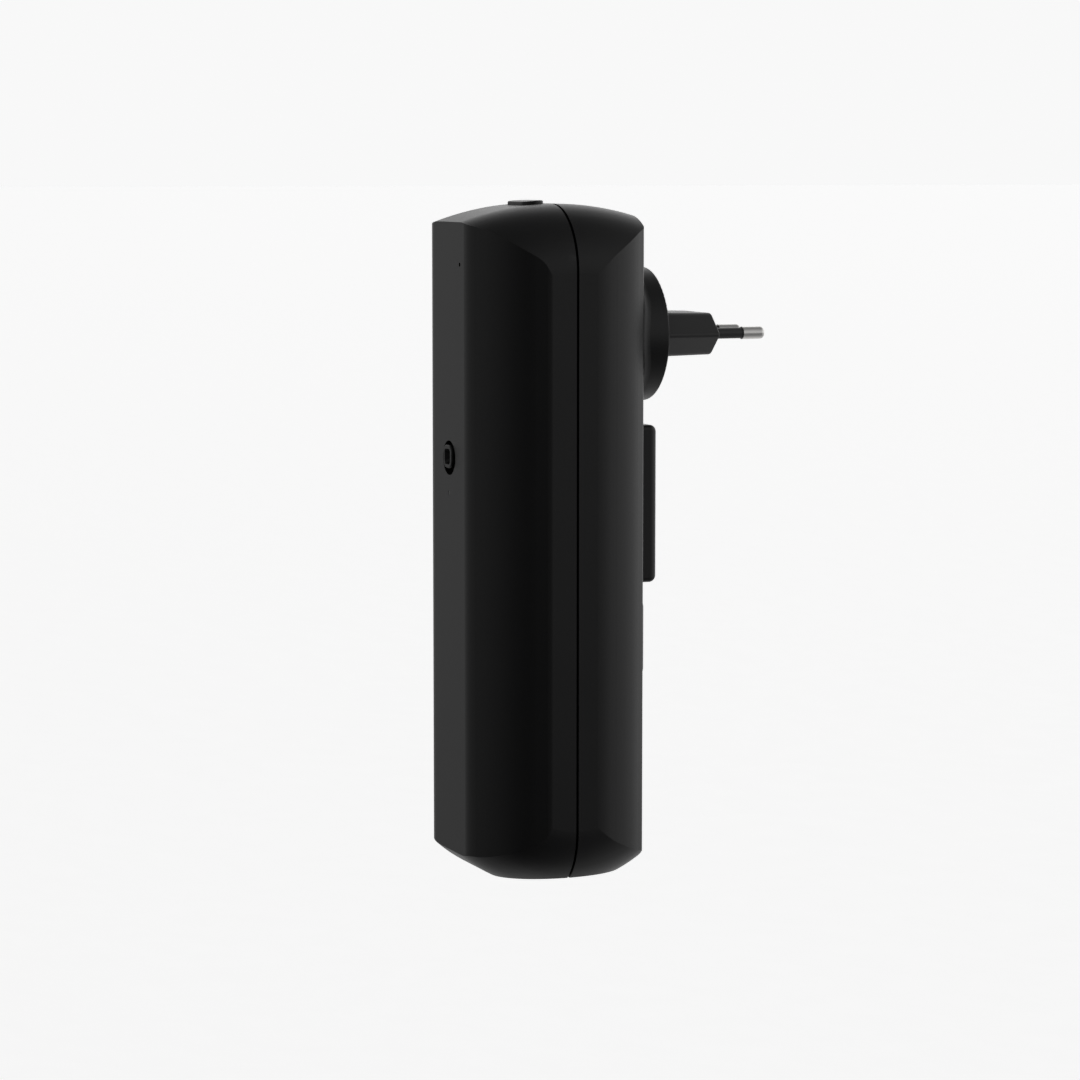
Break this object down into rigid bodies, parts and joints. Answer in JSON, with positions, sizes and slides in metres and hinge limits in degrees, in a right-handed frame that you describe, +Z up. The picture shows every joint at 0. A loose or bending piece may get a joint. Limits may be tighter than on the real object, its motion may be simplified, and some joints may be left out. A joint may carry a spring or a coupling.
{
  "type": "plug-in video doorbell unit",
  "caption": "Tall plug-in video doorbell unit with a front camera, microphone port, top push button, rear loudspeaker grille and a two-pin mains plug.",
  "frame": {"origin": "centre of the plug's engagement face, midway between the two pins", "axes": "+Z up along the tall housing, +Y from the camera side towards the plug and the wall, +X to the right seen from the front"},
  "size_m": [0.062, 0.1046, 0.2111],
  "materials": {
    "housing": "fine satin moulded texture",
    "button": "satin",
    "bezel": "black",
    "lens_glass": "polished",
    "rubber": "matt",
    "board": "solder mask",
    "chip": "moulded resin",
    "can": "satin",
    "pin_plate": "nickel plate",
    "plug": "satin, a shade lighter than the housing",
    "sleeve": "satin",
    "ferrite": "sintered",
    "tape": "polyester tape",
    "sleeving": "shrink sleeve",
    "white_plastic": "moulded",
    "lead": "insulated wire",
    "steel": "zinc plated",
    "spring_steel": "drawn wire",
    "cone": "pressed paper",
    "light_guide": "smoked translucent"
  },
  "bodies": {
    "housing": {"front_shell": "housing", "rear_shell": "housing", "seam_gasket": "rubber", "housing_screws": "steel", "camera_bezel": "bezel", "camera_barrel": "housing", "front_lens": "lens_glass", "rear_lens": "lens_glass", "lens_spacer": "bezel", "camera_holder": "chip", "image_sensor": "chip", "camera_board": "board", "camera_connector": "chip", "light_pipe": "light_guide", "status_light": "white_plastic", "microphone_boot": "rubber", "microphone": "can", "microphone_lead": "lead", "button_spring": "spring_steel", "switch_board": "board", "switch_board_screws": "steel", "touch_switch": "chip", "main_board": "board", "main_board_screws": "steel", "processor": "chip", "memory_chip": "chip", "shield_can": "can", "wireless_module": "can", "antenna": "steel", "board_connectors": "white_plastic", "power_board": "board", "power_board_screws": "steel", "transformer_core": "ferrite", "transformer_winding": "tape", "bulk_capacitor": "sleeving", "output_capacitor": "sleeving", "bridge_rectifier": "chip", "mains_fuse": "white_plastic", "power_socket": "white_plastic", "dc_lead": "lead", "mains_leads": "lead", "plug_body": "plug", "plug_retainer": "bezel", "retainer_screws": "steel", "pin_left": "pin_plate", "pin_right": "pin_plate", "sleeve_left": "sleeve", "sleeve_right": "sleeve", "speaker_grille": "housing", "speaker_gasket": "rubber", "speaker_frame": "steel", "speaker_cone": "cone", "speaker_magnet": "steel", "speaker_screws": "steel", "speaker_lead": "lead", "wall_spacer": "housing", "spacer_washers": "steel"},
    "button": {"top_button": "button", "switch_plunger": "white_plastic"}
  },
  "joints": [
    {"name": "button_press", "type": "slide", "parent": "housing", "child": "button", "axis": [0, 0, -1], "range_m": [0, 0.0005], "stiffness_N_per_m": 1500, "springref_m": -0.0007, "deforming": ["button_spring"]}
  ]
}
